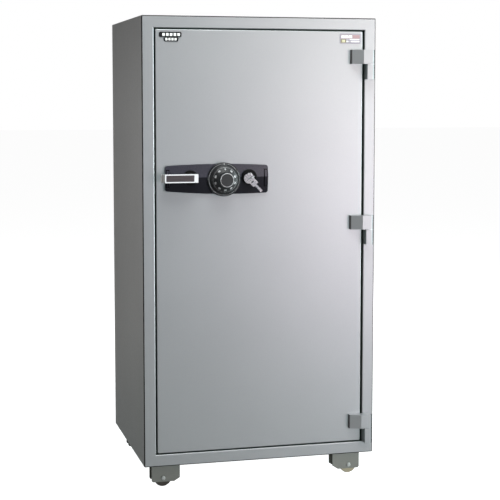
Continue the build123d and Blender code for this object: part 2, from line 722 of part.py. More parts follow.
def dial():
    """Sloping number disc."""
    rim, brow, face = DIAL_RADIUS, DIAL_RADIUS - 5, KNOB_RADIUS + 2
    section = [(DIAL_SPINDLE, -DIAL_BACK), (rim, -DIAL_BACK), (rim, -DIAL_BACK - 3),
               (brow, -DIAL_BROW_REACH), (face, -DIAL_FACE), (DIAL_SPINDLE, -DIAL_FACE)]
    return revolve_y(section, DIAL_X, DIAL_Z)


def dial_knob():
    """Knob with a bevelled face and flutes round its side."""
    side, face, bevel = KNOB_RADIUS, KNOB_RADIUS - 2, KNOB_REACH - 2
    section = [(0, -DIAL_FACE), (side, -DIAL_FACE), (side, -bevel), (face, -KNOB_REACH), (0, -KNOB_REACH)]
    knob = revolve_y(section, DIAL_X, DIAL_Z)
    flute_radius, flute_centre = 2.0, KNOB_RADIUS + 1.2
    for step in range(FLUTES):
        angle = 2 * math.pi * step / FLUTES
        x = DIAL_X + flute_centre * math.cos(angle)
        z = DIAL_Z + flute_centre * math.sin(angle)
        knob -= rod_y(flute_radius, x, z, (1 - bevel, -DIAL_FACE - 1))
    return knob


def dial_spindle():
    return rod_y(DIAL_SPINDLE, DIAL_X, DIAL_Z, (-DIAL_FACE, WHEEL_DEPTHS[-1] + WHEEL_THICKNESS + 1))


def wheel_pack():
    """Three notched tumbler wheels on the spindle."""
    wheels = []
    for depth in WHEEL_DEPTHS:
        through = (depth - 1, depth + WHEEL_THICKNESS + 1)
        wheel = rod_y(WHEEL_RADIUS, DIAL_X, DIAL_Z, (depth, depth + WHEEL_THICKNESS))
        wheel -= rod_y(DIAL_SPINDLE, DIAL_X, DIAL_Z, through)
        gate = (DIAL_Z + WHEEL_RADIUS - 7, DIAL_Z + WHEEL_RADIUS + 1)
        wheels.append(wheel - block((DIAL_X - 4, DIAL_X + 4), through, gate))
    return group(wheels)


def combination_lock_case():
    half, below, wall = 33.0, 45.0, 3.0
    x, z = (DIAL_X - half, DIAL_X + half), (DIAL_Z - below, DIAL_Z + half)
    front = LOCK_CASE_DEPTH[0]
    case = block(x, LOCK_CASE_DEPTH, z)
    case -= block(shrink(x, wall), shrink(LOCK_CASE_DEPTH, 2.5), shrink(z, wall))
    return case - rod_y(DIAL_SPINDLE + FREE, DIAL_X, DIAL_Z, (front - 1, front + wall))


# ---- key lock ----
def key_lock_case():
    y = (LOCK_BAY_DEPTH + LOCK_PLATE_SHEET, PLUG_BACK - 2)
    case = block((KEY_X - 26, KEY_X + 26), y, (KEY_Z - 40, KEY_Z + 22))
    return case - rod_y(KEY_BARREL + RUNNING, KEY_X, KEY_Z, (y[0] - 1, y[1] + 1))


def key_plug():
    """The turning barrel, slotted for the key."""
    plug = rod_y(KEY_BARREL, KEY_X, KEY_Z, (-COLLAR_REACH, PLUG_BACK))
    half = KEY_THICKNESS / 2
    return plug - block((KEY_X - half, KEY_X + half), (-COLLAR_REACH - 1, KEYWAY_DEPTH),
                        (KEY_Z - KEY_BLADE_HALF, KEY_Z + KEY_BLADE_HALF))


def key_cam():
    """Tongue at the back of the plug."""
    y = (PLUG_BACK, PLUG_BACK + 4)
    tongue = block((KEY_X - 5, KEY_X + 5), y, (KEY_Z, KEY_Z + 28))
    return tongue + rod_y(KEY_BARREL + 2, KEY_X, KEY_Z, y)


def key():
    """The key in the lock: its bow stands on edge in front of the plug."""
    half = KEY_THICKNESS / 2
    x = (KEY_X - half, KEY_X + half)
    through = (x[0] - 1, x[1] + 1)
    bow = prism_x(Pos(-KEY_BOW_REACH, KEY_Z) * Ellipse(*KEY_BOW), x)
    bow -= rod_x(KEY_EYE, -KEY_BOW_REACH, KEY_Z, through)
    low = KEY_Z - KEY_BLADE_HALF
    blade = block(x, (-KEY_BOW_REACH + 8, KEYWAY_DEPTH), (low, KEY_Z + KEY_BLADE_HALF))
    blank = bow + blade
    for depth, cut in ((-12, 1.5), (-6, 0.8), (0, 2.0), (6, 1.2), (12, 1.7)):
        blank -= block(through, (depth, depth + 3), (low - 1, low + cut))
    return blank


def key_ring():
    """Ring through the key's eye and round its bow's front."""
    return Pos(KEY_X, -RING_REACH, KEY_Z) * Rot(0, -RING_TILT, 0) * Torus(RING_RADIUS, RING_WIRE)


def spare_eye_place():
    """Where the ring's left side passes through the spare key."""
    half_chord = math.sqrt(RING_RADIUS ** 2 - (SPARE_REACH - RING_REACH) ** 2)
    tilt = math.radians(RING_TILT)
    return KEY_X - half_chord * math.cos(tilt), KEY_Z - half_chord * math.sin(tilt)


def spare_key():
    """Second key on the ring, flat to the front, its blade down to the right."""
    shoulder = Pos(17.3, 1.75) * Rectangle(18.6, 18.5)
    slot = Pos(14.6, 0) * Rectangle(3, 8.5)
    blade = Pos(38.5, 0) * Rectangle(26, 2 * SPARE_BLADE_HALF)
    blank = Circle(SPARE_BOW) + shoulder + blade - Circle(SPARE_EYE) - slot
    for place, cut in ((31, 1.4), (35, 2.2), (39, 1.0), (43, 2.0), (47, 1.5)):
        blank -= Pos(place, -SPARE_BLADE_HALF) * Rectangle(2.6, 2 * cut)
    half = SPARE_THICKNESS / 2
    placed = Pos(*spare_eye_place()) * Rot(0, 0, -45) * blank
    return prism_y(placed, (-SPARE_REACH - half, half - SPARE_REACH))


# ---- all parts ----
def main():
    os.makedirs("parts", exist_ok=True)
    single = {
        "outer_casing": outer_casing, "back_panel": back_panel, "front_frame": front_frame,
        "body_insulation": body_insulation, "inner_liner": inner_liner, "shelf_clips": shelf_clips,
        "hinge_pins": hinge_pins, "hinge_washers": hinge_washers,
        "door_pan": door_pan, "door_insulation": door_insulation, "door_plug_casing": door_plug_casing,
        "lock_mounting_plate": lock_mounting_plate, "door_inner_panel": door_inner_panel,
        "panel_screws": panel_screws, "door_seal": door_seal, "badge": badge,
        "rating_label": rating_label, "escutcheon": escutcheon, "escutcheon_caps": escutcheon_caps,
        "handle_collar": handle_collar, "key_collar": key_collar, "dial_ring": dial_ring,
        "lever_handle": lever_handle, "handle_insert": handle_insert, "handle_spindle": handle_spindle,
        "spindle_bush": spindle_bush, "handle_cam": handle_cam, "bolt_bar": bolt_bar,
        "locking_bolts": locking_bolts, "bolt_guides": bolt_guides, "fixed_bolts": fixed_bolts,
        "dial": dial, "dial_knob": dial_knob, "dial_spindle": dial_spindle, "wheel_pack": wheel_pack,
        "combination_lock_case": combination_lock_case, "key_lock_case": key_lock_case,
        "key_plug": key_plug, "key_cam": key_cam, "key": key, "key_ring": key_ring,
        "spare_key": spare_key,
    }
    for node, make in single.items():
        export(node, make())
    for name, level in HINGE_LEVELS.items():
        export(f"hinge_knuckle_{name}", hinge_knuckle(level))
        export(f"hinge_leaf_{name}", hinge_leaf(level))
    for name, level in zip(("lower", "middle", "upper"), SHELF_LEVELS):
        export(f"shelf_{name}", shelf(level))
    for end, side in CORNERS:
        export(f"foot_bracket_{end}_{side}", at_corner(front_left_bracket(), side, end))
        export(f"roller_{end}_{side}", at_corner(front_left_roller(), side, end))
    export("roller_axles", group([at_corner(front_left_axle(), side, end) for end, side in CORNERS]))


main()
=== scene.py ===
import json
import math

import bmesh
import bpy
from mathutils import Matrix, Vector


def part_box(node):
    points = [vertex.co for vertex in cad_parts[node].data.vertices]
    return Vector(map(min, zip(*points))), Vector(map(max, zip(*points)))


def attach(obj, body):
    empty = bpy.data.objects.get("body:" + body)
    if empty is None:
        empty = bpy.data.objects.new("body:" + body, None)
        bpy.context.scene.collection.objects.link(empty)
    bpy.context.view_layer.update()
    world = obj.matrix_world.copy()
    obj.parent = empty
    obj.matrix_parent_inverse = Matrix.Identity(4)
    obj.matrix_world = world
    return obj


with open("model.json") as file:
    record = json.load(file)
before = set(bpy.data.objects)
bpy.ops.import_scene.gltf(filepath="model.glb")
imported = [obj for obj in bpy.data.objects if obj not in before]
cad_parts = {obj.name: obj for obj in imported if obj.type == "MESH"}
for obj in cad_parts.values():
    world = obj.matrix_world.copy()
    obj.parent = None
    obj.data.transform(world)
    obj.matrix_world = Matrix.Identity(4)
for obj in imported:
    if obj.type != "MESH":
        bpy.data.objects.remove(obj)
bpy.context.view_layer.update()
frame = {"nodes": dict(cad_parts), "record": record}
NODES = frame["nodes"]
MM = 0.001
SHARP_ANGLE = math.radians(32)  # edges sharper than this stay crisp
NOISE_LOW, NOISE_HIGH = 0.3, 0.7  # most of a noise texture's values lie between these

# ---- driving values ----
# The camera stands 1 m left of the cabinet's middle and 3.9 m in front of it, turned right and a little down.
CAMERA_PLACE = (-0.9763, -3.8649, 1.1142)
CAMERA_YAW = 14.575  # degrees to the right
CAMERA_PITCH = 4.905  # degrees down
CAMERA_LENS = 95.8  # millimetres, on a 36 mm sensor
CAMERA_SHIFT_Y = -0.08

SILVER = (0.34, 0.35, 0.36)
# painted shade on the door gap's walls behind the front face, on the frame and the door
REBATE_PAINTED_SHADE = (0.034, 0.042, 0.037)
INNER_GREY = (0.42, 0.42, 0.40)
PANEL_GREY = (0.24, 0.24, 0.23)
FOOT_OLIVE = (0.165, 0.165, 0.15)
# painted shade on the feet's cheeks behind their front plates
CHEEK_PAINTED_SHADE = (0.032, 0.028, 0.022)
# painted shade on the frame's outer rounded edge and on the hinges' round noses
EDGE_PAINTED_SHADE = (0.018, 0.016, 0.017)
# painted shade on the hinge leaves' left flanks
FLANK_PAINTED_SHADE = (0.07, 0.065, 0.066)
CHARCOAL = (0.0155, 0.0155, 0.0255)
# painted shade on the escutcheon below its ridge
CHARCOAL_PAINTED_SHADE = (0.007, 0.007, 0.010)
BLACK = (0.010, 0.010, 0.011)
WHITE_INK = (0.78, 0.78, 0.76)
LINE_GREY = (0.36, 0.36, 0.37)
FLOOR_GLOW = 0.95
FLOOR_SEEN = (0.6, 0.6, 0.6)
FLOOR_BOUNCE = (0.26, 0.26, 0.25)
AMBIENT = 0.04
# painted shade in the grooves round the escutcheon's end bars
GROOVE_PAINTED_SHADE = (0.002, 0.002, 0.002)

# Places taken from the CAD.
FACE_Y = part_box("door_pan")[0].y  # the cabinet's front face
HINGE_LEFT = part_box("hinge_leaf_top")[0].x
FOOT_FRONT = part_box("foot_bracket_front_right")[0].y
RIDGE_Z = 0.8875  # level of the ridge along the escutcheon
CAP_LOW, CAP_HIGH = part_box("escutcheon_caps")  # the two bars at the escutcheon's ends
CAP_HALF = (4.5 * MM, (CAP_HIGH.z - CAP_LOW.z) / 2)  # half of one bar's width and height
CAP_X = (CAP_LOW.x + CAP_HALF[0], CAP_HIGH.x - CAP_HALF[0])
CAP_Z = (CAP_LOW.z + CAP_HIGH.z) / 2

# Where paint gives way to painted shade. Each pair gives the places of full paint and of full painted shade.
FRAME_BEHIND = (0.8 * MM, 1.9 * MM)  # on the frame, behind the front face
DOOR_BEHIND = (0.3 * MM, 1.4 * MM)  # on the door pan, behind the front face
FOOT_BEHIND = (0.8 * MM, 2.0 * MM)  # on the feet, behind the front plate's face
EDGE_LINE = (-3.2 * MM, -2.4 * MM)  # on the frame, from the front's outline; below zero is inside it
HINGE_FLANK = (1.9 * MM, 0.9 * MM)  # on the hinges, right of the leaf's left edge
HINGE_NOSE = (-17.5 * MM, -11.5 * MM)  # on the hinges, from the front's outline
HINGE_PROUD = (15.0 * MM, 18.0 * MM)  # on the hinges, in front of the front face


# ---- material helpers ----
def new_material(name):
    """A node material with its shader, and a place to add nodes."""
    material = bpy.data.materials.new(name)
    material.use_nodes = True
    tree = material.node_tree
    shader = tree.nodes["Principled BSDF"]
    return material, tree, shader


def object_coordinates(tree, stretch=(1, 1, 1)):
    """Object coordinates in metres, stretched along the axes for brushed or streaked surfaces."""
    where = tree.nodes.new("ShaderNodeTexCoord")
    mapping = tree.nodes.new("ShaderNodeMapping")
    mapping.inputs["Scale"].default_value = stretch
    tree.links.new(where.outputs["Object"], mapping.inputs["Vector"])
    return mapping.outputs["Vector"]


def noise(tree, vector, scale, detail=2.0, roughness=0.5):
    texture = tree.nodes.new("ShaderNodeTexNoise")
    texture.inputs["Scale"].default_value = scale
    texture.inputs["Detail"].default_value = detail
    texture.inputs["Roughness"].default_value = roughness
    tree.links.new(vector, texture.inputs["Vector"])
    return texture.outputs["Fac"]


def remap(tree, value, low, high, start=NOISE_LOW, end=NOISE_HIGH):
    """Low where the value is at start, high where it is at end, clamped outside."""
    node = tree.nodes.new("ShaderNodeMapRange")
    node.inputs["From Min"].default_value = start
    node.inputs["From Max"].default_value = end
    node.inputs["To Min"].default_value = low
    node.inputs["To Max"].default_value = high
    tree.links.new(value, node.inputs["Value"])
    return node.outputs["Result"]


def blend_colours(tree, value, dark, light):
    ramp = tree.nodes.new("ShaderNodeValToRGB")
    ramp.color_ramp.elements[0].position = NOISE_LOW
    ramp.color_ramp.elements[1].position = NOISE_HIGH
    ramp.color_ramp.elements[0].color = (*dark, 1)
    ramp.color_ramp.elements[1].color = (*light, 1)
    tree.links.new(value, ramp.inputs["Fac"])
    return ramp.outputs["Color"]


def add_bump(tree, shader, height, strength, distance, before=None):
    bump = tree.nodes.new("ShaderNodeBump")
    bump.inputs["Strength"].default_value = strength
    bump.inputs["Distance"].default_value = distance
    tree.links.new(height, bump.inputs["Height"])
    if before is not None:
        tree.links.new(before, bump.inputs["Normal"])
    tree.links.new(bump.outputs["Normal"], shader.inputs["Normal"])
    return bump.outputs["Normal"]


def shade(colour, factor):
    return tuple(min(1.0, channel * factor) for channel in colour)


def textured(name, colour, metallic, roughness, grain, bump, spread=0.06, coat=0.0, gloss=0.5):
    """A surface whose colour and roughness drift slowly, with a fine grain in its relief.

    grain is the size of the relief's cells in metres, bump its depth in metres."""
    material, tree, shader = new_material(name)
    vector = object_coordinates(tree)
    drift = noise(tree, vector, 7.0, 3.0)
    fine = noise(tree, vector, 1.0 / grain, 2.0)
    colours = blend_colours(tree, drift, shade(colour, 1 - spread), shade(colour, 1 + spread))
    tree.links.new(colours, shader.inputs["Base Color"])
    tree.links.new(remap(tree, fine, roughness - 0.04, roughness + 0.05), shader.inputs["Roughness"])
    shader.inputs["Metallic"].default_value = metallic
    shader.inputs["Specular IOR Level"].default_value = gloss
    shader.inputs["Coat Weight"].default_value = coat
    shader.inputs["Coat Roughness"].default_value = 0.2
    add_bump(tree, shader, fine, 0.6, bump)
    return material


def axis_factor(tree, axis, start, end):
    """0 at one place along an axis, 1 at another."""
    split = tree.nodes.new("ShaderNodeSeparateXYZ")
    tree.links.new(object_coordinates(tree), split.inputs["Vector"])
    return remap(tree, split.outputs[axis], 0.0, 1.0, start, end)


def arithmetic(tree, operation, first, second=None):
    """One Math node; its second value is a number or a socket."""
    node = tree.nodes.new("ShaderNodeMath")
    node.operation = operation
    tree.links.new(first, node.inputs[0])
    if isinstance(second, float):
        node.inputs[1].default_value = second
    elif second is not None:
        tree.links.new(second, node.inputs[1])
    return node.outputs["Value"]


def rectangle_distance(tree, centre, half):
    """How far a point lies outside an upright rectangle in x and z; below zero inside it."""
    split = tree.nodes.new("ShaderNodeSeparateXYZ")
    tree.links.new(object_coordinates(tree), split.inputs["Vector"])
    sides = []
    for axis, middle, reach in zip("XZ", centre, half):
        off = arithmetic(tree, "ABSOLUTE", arithmetic(tree, "SUBTRACT", split.outputs[axis], middle))
        sides.append(arithmetic(tree, "SUBTRACT", off, reach))
    return arithmetic(tree, "MAXIMUM", sides[0], sides[1])


def box_rectangle(node):
    """Centre and half size of a node's box, seen from the front."""
    low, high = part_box(node)
    return ((low.x + high.x) / 2, (low.z + high.z) / 2), ((high.x - low.x) / 2, (high.z - low.z) / 2)


def mix_colours(tree, factor, first, second):
    """First and second are sockets or colours."""
    mix = tree.nodes.new("ShaderNodeMix")
    mix.data_type = "RGBA"
    tree.links.new(factor, mix.inputs["Factor"])
    for socket, colour in (("A", first), ("B", second)):
        if isinstance(colour, tuple):
            mix.inputs[socket].default_value = (*colour, 1)
        else:
            tree.links.new(colour, mix.inputs[socket])
    return mix.outputs["Result"]


def hammered_paint(name, colour, metallic=0.55, roughness=0.38, painted_shade_zone=None):
    """Silver stoving enamel: orange-peel cells, a finer sparkle of flakes and slow tone drift.

    The last argument is a function of the tree and the paint's colour. It gives the colour with a dull zone
    of painted shade worked in, and that zone's 0 to 1 factor."""
    material, tree, shader = new_material(name)
    vector = object_coordinates(tree)
    cells = noise(tree, vector, 260.0, 1.0)  # about 4 mm
    flakes = noise(tree, vector, 1900.0, 1.0)  # about 0.5 mm
    drift = noise(tree, vector, 3.0, 2.0)  # about 300 mm
    base = blend_colours(tree, drift, shade(colour, 0.975), shade(colour, 1.025))
    sparkle = blend_colours(tree, flakes, (0.94, 0.94, 0.95), (1.0, 1.0, 1.0))
    mix = tree.nodes.new("ShaderNodeMix")
    mix.data_type = "RGBA"
    mix.blend_type = "MULTIPLY"
    mix.inputs["Factor"].default_value = 1.0
    tree.links.new(base, mix.inputs["A"])
    tree.links.new(sparkle, mix.inputs["B"])
    result = mix.outputs["Result"]
    shader.inputs["Metallic"].default_value = metallic
    if painted_shade_zone:
        result, dull = painted_shade_zone(tree, result)
        tree.links.new(remap(tree, dull, metallic, 0.0, 0.0, 1.0), shader.inputs["Metallic"])
        tree.links.new(remap(tree, dull, 0.5, 0.05, 0.0, 1.0), shader.inputs["Specular IOR Level"])
    tree.links.new(result, shader.inputs["Base Color"])
    tree.links.new(remap(tree, cells, roughness - 0.05, roughness + 0.05), shader.inputs["Roughness"])
    peel = add_bump(tree, shader, cells, 0.35, 0.00022)
    add_bump(tree, shader, flakes, 0.12, 0.00006, before=peel)
    return material


def rim_factor(tree, limits):
    """0 to 1 between two distances from the outline of the cabinet's front."""
    return remap(tree, rectangle_distance(tree, *box_rectangle("front_frame")), 0.0, 1.0, *limits)


def frame_zone(tree, paint):
    """Painted shade behind the face, where the door shuts in, and a line of painted shade round the front's
    outer edge.
    """
    behind = axis_factor(tree, "Y", FACE_Y + FRAME_BEHIND[0], FACE_Y + FRAME_BEHIND[1])
    rim = rim_factor(tree, EDGE_LINE)
    colour = mix_colours(tree, rim, mix_colours(tree, behind, paint, REBATE_PAINTED_SHADE), EDGE_PAINTED_SHADE)
    return colour, arithmetic(tree, "MAXIMUM", behind, rim)


def door_zone(tree, paint):
    """Painted shade from just behind the face, on the door's edges in the gap."""
    behind = axis_factor(tree, "Y", FACE_Y + DOOR_BEHIND[0], FACE_Y + DOOR_BEHIND[1])
    return mix_colours(tree, behind, paint, REBATE_PAINTED_SHADE), behind


def hinge_zone(tree, paint):
    """Painted shade on the hinge leaves' left flank, and on the round right-hand nose, darker as it turns
    away.
    """
    flank = axis_factor(tree, "X", HINGE_LEFT + HINGE_FLANK[0], HINGE_LEFT + HINGE_FLANK[1])
    front = axis_factor(tree, "Y", FACE_Y - HINGE_PROUD[0], FACE_Y - HINGE_PROUD[1])
    nose = arithmetic(tree, "MULTIPLY", rim_factor(tree, HINGE_NOSE), front)
    colour = mix_colours(tree, nose, mix_colours(tree, flank, paint, FLANK_PAINTED_SHADE), EDGE_PAINTED_SHADE)
    return colour, arithmetic(tree, "MAXIMUM", flank, nose)


def brushed_metal(name, colour, roughness, direction, depth=0.00003):
    """Metal with fine parallel scratches along one axis."""
    stretch = [900.0, 900.0, 900.0]
    stretch["xyz".index(direction)] = 14.0
    material, tree, shader = new_material(name)
    vector = object_coordinates(tree, stretch)
    lines = noise(tree, vector, 1.0, 3.0, 0.65)
    wear = noise(tree, object_coordinates(tree), 40.0, 3.0)
    colours = blend_colours(tree, lines, shade(colour, 0.86), shade(colour, 1.12))
    tree.links.new(colours, shader.inputs["Base Color"])
    tree.links.new(remap(tree, wear, roughness - 0.05, roughness + 0.08), shader.inputs["Roughness"])
    shader.inputs["Metallic"].default_value = 1.0
    add_bump(tree, shader, lines, 0.5, depth)
    return material


def foot_paint():
    """Olive-grey paint on the front brackets' plates, with painted shade on everything behind them."""
    material = textured("foot_paint", FOOT_OLIVE, 0.1, 0.5, grain=0.0028, bump=0.0002, spread=0.1)
    tree = material.node_tree
    base = tree.nodes["Principled BSDF"].inputs["Base Color"]
    paint = base.links[0].from_socket
    behind = axis_factor(tree, "Y", FOOT_FRONT + FOOT_BEHIND[0], FOOT_FRONT + FOOT_BEHIND[1])
    tree.links.new(mix_colours(tree, behind, paint, CHEEK_PAINTED_SHADE), base)
    return material


def escutcheon_plastic():
    """Charcoal plastic, paler and glossier above the ridge; the darker tone below it is painted shade, and so
    is the black in the end bars' grooves.
    """
    material, tree, shader = new_material("escutcheon")
    fine = noise(tree, object_coordinates(tree), 1100.0, 2.0)
    above = axis_factor(tree, "Z", RIDGE_Z - 0.3 * MM, RIDGE_Z + 0.3 * MM)
    # the tone below the ridge is painted shade
    tone = mix_colours(tree, above, CHARCOAL_PAINTED_SHADE, CHARCOAL)
    gloss = remap(tree, above, 0.12, 0.62, 0.0, 1.0)
    for x in CAP_X:
        near = rectangle_distance(tree, (x, CAP_Z), CAP_HALF)
        clear = remap(tree, arithmetic(tree, "ABSOLUTE", near), 0.0, 1.0, 0.7 * MM, 1.3 * MM)
        # black painted shade in the groove round each end bar
        tone = mix_colours(tree, clear, GROOVE_PAINTED_SHADE, tone)
        gloss = arithmetic(tree, "MULTIPLY", gloss, clear)
    tree.links.new(tone, shader.inputs["Base Color"])
    tree.links.new(gloss, shader.inputs["Specular IOR Level"])
    tree.links.new(remap(tree, fine, 0.26, 0.35), shader.inputs["Roughness"])
    tree.links.new(arithmetic(tree, "MULTIPLY", gloss, 0.5), shader.inputs["Coat Weight"])
    shader.inputs["Coat Roughness"].default_value = 0.2
    add_bump(tree, shader, fine, 0.6, 0.00003)
    return material


def polished_metal(name, colour, roughness, metallic=1.0):
    """Bright plated metal with faint smears and hairline scratches.

    Less than fully metallic, it stays pale where it has only darkness to reflect."""
    material, tree, shader = new_material(name)
    vector = object_coordinates(tree)
    smear = noise(tree, vector, 55.0, 4.0, 0.6)
    hair = noise(tree, object_coordinates(tree, (60, 60, 1500)), 1.0, 2.0)
    tree.links.new(blend_colours(tree, smear, shade(colour, 0.95), colour), shader.inputs["Base Color"])
    tree.links.new(remap(tree, smear, roughness * 0.6, roughness * 1.5), shader.inputs["Roughness"])
    shader.inputs["Metallic"].default_value = metallic
    add_bump(tree, shader, hair, 0.08, 0.00002)
    return material


# ---- materials ----
LABEL_COLOURS = {
    "label_silver": (0.29, 0.27, 0.30),
    "label_lavender": (0.15, 0.115, 0.16),
    "label_pink": (0.29, 0.18, 0.19),
    "label_tan": (0.15, 0.125, 0.075),
    "label_cream": (0.43, 0.40, 0.26),
}


def make_materials():
    materials = {
        "silver_paint": hammered_paint("silver_paint", SILVER),
        # the frame, door and hinge paints carry painted shade in their zones
        "frame_paint_and_shade": hammered_paint("frame_paint_and_shade", SILVER, painted_shade_zone=frame_zone),
        "door_paint_and_shade": hammered_paint("door_paint_and_shade", SILVER, painted_shade_zone=door_zone),
        "hinge_paint_and_shade": hammered_paint("hinge_paint_and_shade", shade(SILVER, 0.93), painted_shade_zone=hinge_zone),
        "panel_paint": hammered_paint("panel_paint", PANEL_GREY, metallic=0.0, roughness=0.5),
        "inner_paint": hammered_paint("inner_paint", INNER_GREY, metallic=0.0, roughness=0.5),
        "foot_paint": foot_paint(),
        "zinc": brushed_metal("zinc", (0.50, 0.51, 0.53), 0.36, "z"),
        "steel": polished_metal("steel", (0.72, 0.72, 0.74), 0.22, metallic=0.7),
        "key_nickel": polished_metal("key_nickel", (0.38, 0.39, 0.40), 0.3),
        "brass": brushed_metal("brass", (0.62, 0.44, 0.18), 0.3, "y"),
        "chrome": polished_metal("chrome", (0.90, 0.87, 0.86), 0.1, metallic=0.55),
        "insert": brushed_metal("insert", (0.105, 0.095, 0.098), 0.38, "x"),
        "escutcheon": escutcheon_plastic(),
        "black_plastic": textured("black_plastic", BLACK, 0.0, 0.3,
                                  grain=0.0007, bump=0.00002, coat=0.1, gloss=0.3),
        "dial_black": textured("dial_black", shade(BLACK, 1.4), 0.0, 0.5,
                               grain=0.0006, bump=0.00002, gloss=0.35),
        "collar_black": textured("collar_black", shade(BLACK, 0.3), 0.0, 0.5,
                                 grain=0.0007, bump=0.00002, gloss=0.08),
        "line_grey": textured("line_grey", LINE_GREY, 0.0, 0.5, grain=0.0005, bump=0.00001),
        "number_grey": textured("number_grey", shade(LINE_GREY, 1.6), 0.0, 0.6,
                                grain=0.0005, bump=0.00001, gloss=0.2),
        "ring_grey": textured("ring_grey", shade(LINE_GREY, 1.6), 0.3, 0.35, grain=0.0005, bump=0.00001),
        "key_shadow": textured("key_shadow", (0.11, 0.11, 0.12), 0.6, 0.4, grain=0.0005, bump=0.00001),
        "axle_steel": textured("axle_steel", (0.38, 0.39, 0.38), 0.2, 0.4, grain=0.0008, bump=0.00002),
        "white_ink": textured("white_ink", WHITE_INK, 0.0, 0.5, grain=0.0005, bump=0.00001),
        "nylon": textured("nylon", (0.30, 0.26, 0.18), 0.0, 0.42, grain=0.002, bump=0.00006, spread=0.15),
        # the front left roller's nylon, darkened as painted shade
        "nylon_painted_shade": textured("nylon_painted_shade", (0.035, 0.028, 0.022), 0.0, 0.5,
                               grain=0.002, bump=0.00006, spread=0.15),
        "seal_rubber": textured("seal_rubber", (0.02, 0.02, 0.02), 0.0, 0.8, grain=0.001, bump=0.0001),
        "insulation": textured("insulation", (0.55, 0.53, 0.48), 0.0, 0.9,
                               grain=0.004, bump=0.001, spread=0.15),
    }
    for name, colour in LABEL_COLOURS.items():
        materials[name] = textured(name, colour, 0.0, 0.5, grain=0.0006, bump=0.00001)
    return materials


SLOT_MATERIAL = {
    "casing_paint": "silver_paint", "inner_paint": "inner_paint", "foot_paint": "foot_paint",
    "zinc_steel": "zinc", "bolt_steel": "steel", "brass": "brass", "insulation": "insulation",
    "seal": "seal_rubber", "escutcheon_plastic": "escutcheon", "black_plastic": "black_plastic",
    "handle_chrome": "chrome", "handle_insert": "insert", "label": "label_silver",
    "roller_nylon": "nylon",
}
NODE_MATERIAL = {
    "dial": "dial_black", "dial_knob": "dial_black", "key": "key_nickel", "spare_key": "key_nickel",
    "key_ring": "key_nickel", "key_plug": "steel", "handle_collar": "collar_black",
    "key_collar": "collar_black", "front_frame": "frame_paint_and_shade", "door_pan": "door_paint_and_shade",
    "roller_axles": "axle_steel", "hinge_leaf_top": "hinge_paint_and_shade", "hinge_leaf_middle": "hinge_paint_and_shade",
    "hinge_leaf_bottom": "hinge_paint_and_shade", "hinge_knuckle_top": "hinge_paint_and_shade",
    "hinge_knuckle_middle": "hinge_paint_and_shade", "hinge_knuckle_bottom": "hinge_paint_and_shade",
    "roller_front_left": "nylon_painted_shade", "door_inner_panel": "panel_paint",
    "door_plug_casing": "panel_paint",
}

# roller_front_left gets the nylon with painted shade

def paint_nodes(materials):
    """Give each CAD node its procedural material and smooth its round faces."""
    for part in frame["record"]["subparts"]:
        node = part["node"]
        name = NODE_MATERIAL.get(node, SLOT_MATERIAL[part["material_slot"]])
        mesh = NODES[node].data
        mesh.materials.clear()
        mesh.materials.append(materials[name])
        mesh.shade_smooth()
        mesh.set_sharp_from_angle(angle=SHARP_ANGLE)


# ---- mesh helpers ----
def finish_piece(name, mesh_data, material, body):
    mesh = bpy.data.meshes.new(name)
    mesh_data.to_mesh(mesh)
    mesh_data.free()
    piece = bpy.data.objects.new(name, mesh)
    bpy.context.scene.collection.objects.link(piece)
    mesh.materials.append(material)
    mesh.shade_smooth()
    mesh.set_sharp_from_angle(angle=SHARP_ANGLE)
    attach(piece, body)
    return piece


def add_block(mesh, low, high, turn=None, bevel=0.0):
    """A box between two corners, with its edges bevelled, turned by a matrix."""
    low, high = Vector(low), Vector(high)
    size = high - low
    place = Matrix.Translation((low + high) / 2) @ Matrix.Diagonal((*size, 1))
    made = bmesh.ops.create_cube(mesh, size=1.0, matrix=place)
    verts = made["verts"]
    if bevel:
        edges = list({edge for vert in verts for edge in vert.link_edges})
        made = bmesh.ops.bevel(mesh, geom=edges, offset=bevel, segments=2, affect="EDGES", profile=0.6)
        verts = list({vert for face in made["faces"] for vert in face.verts})
    if turn is not None:
        bmesh.ops.transform(mesh, matrix=turn, verts=verts)


def add_ring(mesh, centre, radius, wire, turn, steps=96, sides=12):
    """A torus about the local z of a turn matrix."""
    rings = []
    for step in range(steps):
        angle = 2 * math.pi * step / steps
        out = Vector((math.cos(angle), math.sin(angle), 0))
        ring = []
        for side in range(sides):
            around = 2 * math.pi * side / sides
            point = out * (radius + wire * math.cos(around)) + Vector((0, 0, wire * math.sin(around)))
            ring.append(mesh.verts.new(Vector(centre) + turn @ point))
        rings.append(ring)
    for step in range(steps):
        here, there = rings[step], rings[(step + 1) % steps]
        for side in range(sides):
            after = (side + 1) % sides
            mesh.faces.new((here[side], there[side], there[after], here[after]))


# ---- dial markings ----
def node_centre(node):
    low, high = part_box(node)
    return (low + high) / 2


DIAL_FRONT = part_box("dial")[0].y
DIAL_CENTRE = node_centre("dial")
NUMBER_SLOPE = math.atan2(9.0, 14.0)  # the dial's inner cone: 9 mm rise over 14 mm of radius
CONE_INNER_RADIUS = 22.0 * MM
UPRIGHT = Matrix.Rotation(math.radians(90), 3, "X")
NUMBER_RADIUS = 28.9 * MM
NUMBER_HEIGHT = 7.2 * MM
TICK_RADIUS = 34.3 * MM
KNOB_RING_RADIUS = 18.5 * MM
KNOB_RING_WIRE = 0.75 * MM
# the pale ring on the bezel's front edge is a painted highlight
BEZEL_LINE_RADIUS = 43.8 * MM
BEZEL_LINE_WIRE = 0.42 * MM
BEZEL_LINE_DEPTH = 0.3 * MM  # its middle, behind the bezel's front


def cone_depth(radius):
    """The world's y of the dial's sloping surface at a radius."""
    return DIAL_FRONT + (radius - CONE_INNER_RADIUS) * math.tan(NUMBER_SLOPE)


